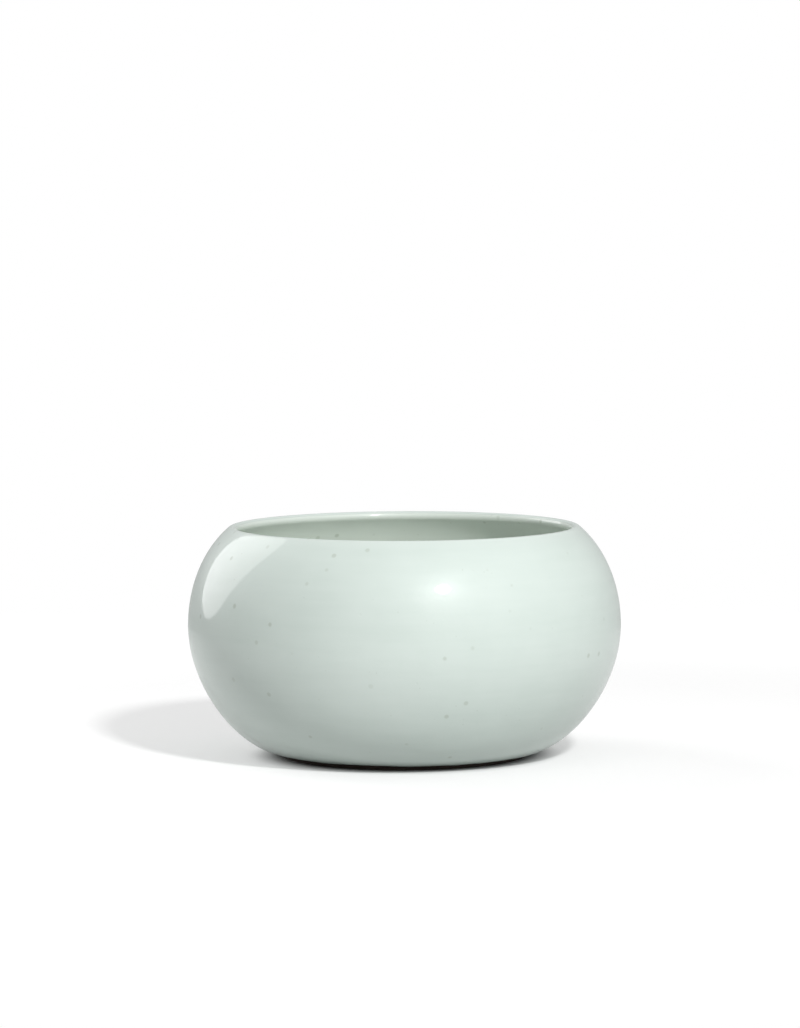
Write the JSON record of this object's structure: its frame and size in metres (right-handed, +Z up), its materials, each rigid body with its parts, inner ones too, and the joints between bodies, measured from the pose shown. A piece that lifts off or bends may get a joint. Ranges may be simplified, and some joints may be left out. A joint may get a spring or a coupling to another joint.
{
  "type": "water pot",
  "caption": "Squat round-bellied porcelain water pot with a wide incurved mouth and a low foot ring, under a pale green celadon glaze.",
  "frame": {"origin": "centre of the circle on which the foot ring stands", "axes": "+Z up along the pot's axis, through the middle of the mouth; +X and +Y level, +Y away from the viewer"},
  "size_m": [0.12, 0.12, 0.0637],
  "materials": {
    "porcelain": "fired, unglazed porcelain",
    "slip": "fired slip",
    "foot_biscuit": "bare foot burnt dark brown",
    "celadon_outside": "glossy pale celadon glaze",
    "celadon_inside": "glossy pale celadon glaze",
    "celadon_base": "glossy pale celadon glaze"
  },
  "bodies": {
    "root": {"lower_body": "porcelain", "upper_body": "porcelain", "luting_seam": "slip", "foot_ring": "foot_biscuit", "outer_glaze": "celadon_outside", "inner_glaze": "celadon_inside", "base_glaze": "celadon_base"}
  },
  "joints": []
}
